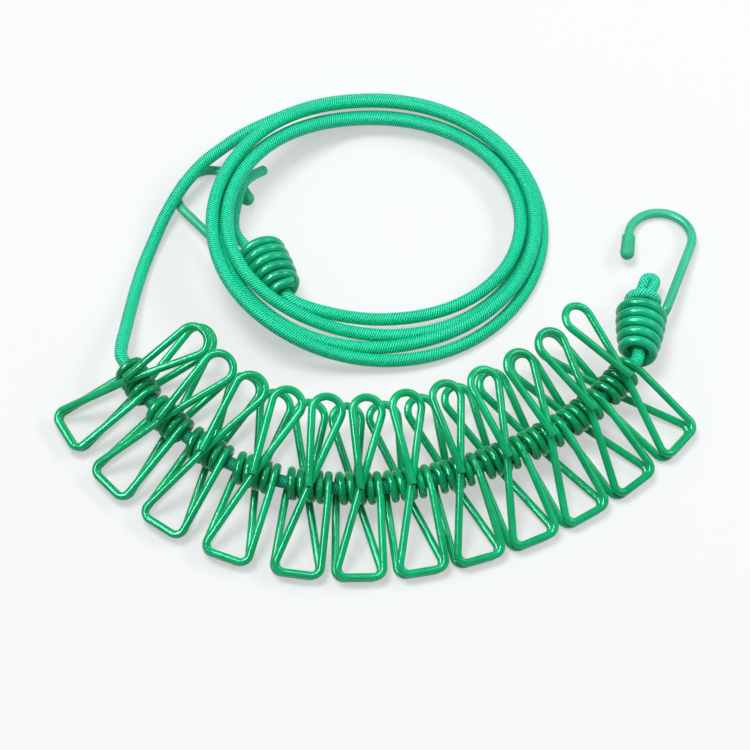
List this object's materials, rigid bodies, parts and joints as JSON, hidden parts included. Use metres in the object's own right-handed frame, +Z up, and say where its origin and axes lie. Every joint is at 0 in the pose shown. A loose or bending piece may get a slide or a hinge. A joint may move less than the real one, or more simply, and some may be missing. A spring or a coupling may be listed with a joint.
{
  "type": "elastic travel clothesline",
  "caption": "Braided stretch cord with wire spring clips strung along it and a coated wire hook wound on to each end, lying with its spare cord in a loose coil.",
  "frame": {"origin": "on the table, under the middle of the box around the clips and hooks", "axes": "+X along the row of clips from the tail to the right hook, +Y away from the viewer to the coil, +Z up from the table"},
  "size_m": [0.208, 0.1808, 0.029],
  "materials": {
    "clip_wire": "glossy green plastic coat over spring steel wire",
    "hook_wire": "satin sea-green plastic coat over steel wire",
    "hook_cap": "dipped soft plastic",
    "braided_cord": "bright green braided sleeve over a rubber core"
  },
  "bodies": {
    "line": {"line_row": "braided_cord", "line_tail": "braided_cord", "line_coil": "braided_cord", "line_end_left": "braided_cord", "line_end_right": "braided_cord", "hook_left": "hook_wire", "hook_left_cap": "hook_cap"},
    "hook_right": {"hook_right": "hook_wire", "hook_right_cap": "hook_cap"},
    "clip_01": {"clip_01_spring": "clip_wire", "clip_01_lower": "clip_wire"},
    "clip_01_lever": {"clip_01_upper": "clip_wire"},
    "clip_02": {"clip_02_spring": "clip_wire", "clip_02_lower": "clip_wire"},
    "clip_02_lever": {"clip_02_upper": "clip_wire"},
    "clip_03": {"clip_03_spring": "clip_wire", "clip_03_lower": "clip_wire"},
    "clip_03_lever": {"clip_03_upper": "clip_wire"},
    "clip_04": {"clip_04_spring": "clip_wire", "clip_04_lower": "clip_wire"},
    "clip_04_lever": {"clip_04_upper": "clip_wire"},
    "clip_05": {"clip_05_spring": "clip_wire", "clip_05_lower": "clip_wire"},
    "clip_05_lever": {"clip_05_upper": "clip_wire"},
    "clip_06": {"clip_06_spring": "clip_wire", "clip_06_lower": "clip_wire"},
    "clip_06_lever": {"clip_06_upper": "clip_wire"},
    "clip_07": {"clip_07_spring": "clip_wire", "clip_07_lower": "clip_wire"},
    "clip_07_lever": {"clip_07_upper": "clip_wire"},
    "clip_08": {"clip_08_spring": "clip_wire", "clip_08_lower": "clip_wire"},
    "clip_08_lever": {"clip_08_upper": "clip_wire"},
    "clip_09": {"clip_09_spring": "clip_wire", "clip_09_lower": "clip_wire"},
    "clip_09_lever": {"clip_09_upper": "clip_wire"},
    "clip_10": {"clip_10_spring": "clip_wire", "clip_10_lower": "clip_wire"},
    "clip_10_lever": {"clip_10_upper": "clip_wire"},
    "clip_11": {"clip_11_spring": "clip_wire", "clip_11_lower": "clip_wire"},
    "clip_11_lever": {"clip_11_upper": "clip_wire"},
    "clip_12": {"clip_12_spring": "clip_wire", "clip_12_lower": "clip_wire"},
    "clip_12_lever": {"clip_12_upper": "clip_wire"}
  },
  "joints": [
    {"name": "clip_01_turn", "type": "hinge", "parent": "line", "child": "clip_01", "pos_m": [-0.0772, -0.01055, 0.01123], "axis": [-0.515, 0.8572, 0], "range_deg": [0, 8]},
    {"name": "clip_01_squeeze", "type": "hinge", "parent": "clip_01", "child": "clip_01_lever", "pos_m": [-0.0772, -0.01055, 0.01123], "axis": [-0.515, 0.8572, 0], "range_deg": [0, 15], "stiffness_Nm_per_rad": 0.12, "springref_deg": -34.38, "deforming": ["clip_01_spring"]},
    {"name": "clip_02_turn", "type": "hinge", "parent": "line", "child": "clip_02", "pos_m": [-0.06685, -0.02404, 0.01123], "axis": [-0.6947, 0.7193, 0], "range_deg": [0, 8]},
    {"name": "clip_02_squeeze", "type": "hinge", "parent": "clip_02", "child": "clip_02_lever", "pos_m": [-0.06685, -0.02404, 0.01123], "axis": [-0.6947, 0.7193, 0], "range_deg": [0, 15], "stiffness_Nm_per_rad": 0.12, "springref_deg": -34.38, "deforming": ["clip_02_spring"]},
    {"name": "clip_03_turn", "type": "hinge", "parent": "line", "child": "clip_03", "pos_m": [-0.05411, -0.03473, 0.01123], "axis": [-0.829, 0.5592, 0], "range_deg": [0, 8]},
    {"name": "clip_03_squeeze", "type": "hinge", "parent": "clip_03", "child": "clip_03_lever", "pos_m": [-0.05411, -0.03473, 0.01123], "axis": [-0.829, 0.5592, 0], "range_deg": [0, 15], "stiffness_Nm_per_rad": 0.12, "springref_deg": -34.38, "deforming": ["clip_03_spring"]},
    {"name": "clip_04_turn", "type": "hinge", "parent": "line", "child": "clip_04", "pos_m": [-0.03902, -0.04258, 0.01123], "axis": [-0.9336, 0.3584, 0], "range_deg": [0, 8]},
    {"name": "clip_04_squeeze", "type": "hinge", "parent": "clip_04", "child": "clip_04_lever", "pos_m": [-0.03902, -0.04258, 0.01123], "axis": [-0.9336, 0.3584, 0], "range_deg": [0, 15], "stiffness_Nm_per_rad": 0.12, "springref_deg": -34.38, "deforming": ["clip_04_spring"]},
    {"name": "clip_05_turn", "type": "hinge", "parent": "line", "child": "clip_05", "pos_m": [-0.02255, -0.04684, 0.01123], "axis": [-0.9903, 0.1392, 0], "range_deg": [0, 8]},
    {"name": "clip_05_squeeze", "type": "hinge", "parent": "clip_05", "child": "clip_05_lever", "pos_m": [-0.02255, -0.04684, 0.01123], "axis": [-0.9903, 0.1392, 0], "range_deg": [0, 15], "stiffness_Nm_per_rad": 0.12, "springref_deg": -34.38, "deforming": ["clip_05_spring"]},
    {"name": "clip_06_turn", "type": "hinge", "parent": "line", "child": "clip_06", "pos_m": [-0.00708, -0.04779, 0.01123], "axis": [-0.9998, -0.0175, 0], "range_deg": [0, 8]},
    {"name": "clip_06_squeeze", "type": "hinge", "parent": "clip_06", "child": "clip_06_lever", "pos_m": [-0.00708, -0.04779, 0.01123], "axis": [-0.9998, -0.0175, 0], "range_deg": [0, 15], "stiffness_Nm_per_rad": 0.12, "springref_deg": -34.38, "deforming": ["clip_06_spring"]},
    {"name": "clip_07_turn", "type": "hinge", "parent": "line", "child": "clip_07", "pos_m": [0.00835, -0.0463, 0.01123], "axis": [-0.9848, -0.1736, 0], "range_deg": [0, 8]},
    {"name": "clip_07_squeeze", "type": "hinge", "parent": "clip_07", "child": "clip_07_lever", "pos_m": [0.00835, -0.0463, 0.01123], "axis": [-0.9848, -0.1736, 0], "range_deg": [0, 15], "stiffness_Nm_per_rad": 0.12, "springref_deg": -34.38, "deforming": ["clip_07_spring"]},
    {"name": "clip_08_turn", "type": "hinge", "parent": "line", "child": "clip_08", "pos_m": [0.02317, -0.04275, 0.01123], "axis": [-0.9563, -0.2924, 0], "range_deg": [0, 8]},
    {"name": "clip_08_squeeze", "type": "hinge", "parent": "clip_08", "child": "clip_08_lever", "pos_m": [0.02317, -0.04275, 0.01123], "axis": [-0.9563, -0.2924, 0], "range_deg": [0, 15], "stiffness_Nm_per_rad": 0.12, "springref_deg": -34.38, "deforming": ["clip_08_spring"]},
    {"name": "clip_09_turn", "type": "hinge", "parent": "line", "child": "clip_09", "pos_m": [0.03744, -0.03741, 0.01123], "axis": [-0.9135, -0.4067, 0], "range_deg": [0, 8]},
    {"name": "clip_09_squeeze", "type": "hinge", "parent": "clip_09", "child": "clip_09_lever", "pos_m": [0.03744, -0.03741, 0.01123], "axis": [-0.9135, -0.4067, 0], "range_deg": [0, 15], "stiffness_Nm_per_rad": 0.12, "springref_deg": -34.38, "deforming": ["clip_09_spring"]},
    {"name": "clip_10_turn", "type": "hinge", "parent": "line", "child": "clip_10", "pos_m": [0.05095, -0.03038, 0.01123], "axis": [-0.8572, -0.515, 0], "range_deg": [0, 8]},
    {"name": "clip_10_squeeze", "type": "hinge", "parent": "clip_10", "child": "clip_10_lever", "pos_m": [0.05095, -0.03038, 0.01123], "axis": [-0.8572, -0.515, 0], "range_deg": [0, 15], "stiffness_Nm_per_rad": 0.12, "springref_deg": -34.38, "deforming": ["clip_10_spring"]},
    {"name": "clip_11_turn", "type": "hinge", "parent": "line", "child": "clip_11", "pos_m": [0.06351, -0.02158, 0.01123], "axis": [-0.7771, -0.6293, 0], "range_deg": [0, 8]},
    {"name": "clip_11_squeeze", "type": "hinge", "parent": "clip_11", "child": "clip_11_lever", "pos_m": [0.06351, -0.02158, 0.01123], "axis": [-0.7771, -0.6293, 0], "range_deg": [0, 15], "stiffness_Nm_per_rad": 0.12, "springref_deg": -34.38, "deforming": ["clip_11_spring"]},
    {"name": "clip_12_turn", "type": "hinge", "parent": "line", "child": "clip_12", "pos_m": [0.07493, -0.01055, 0.01123], "axis": [-0.6561, -0.7547, 0], "range_deg": [0, 8]},
    {"name": "clip_12_squeeze", "type": "hinge", "parent": "clip_12", "child": "clip_12_lever", "pos_m": [0.07493, -0.01055, 0.01123], "axis": [-0.6561, -0.7547, 0], "range_deg": [0, 15], "stiffness_Nm_per_rad": 0.12, "springref_deg": -34.38, "deforming": ["clip_12_spring"]},
    {"name": "hook_right_swivel", "type": "hinge", "parent": "line", "child": "hook_right", "pos_m": [0.08227, -0.00042, 0.01123], "axis": [-0.1203, -0.9796, 0.1609], "range_deg": [0, 180]}
  ]
}
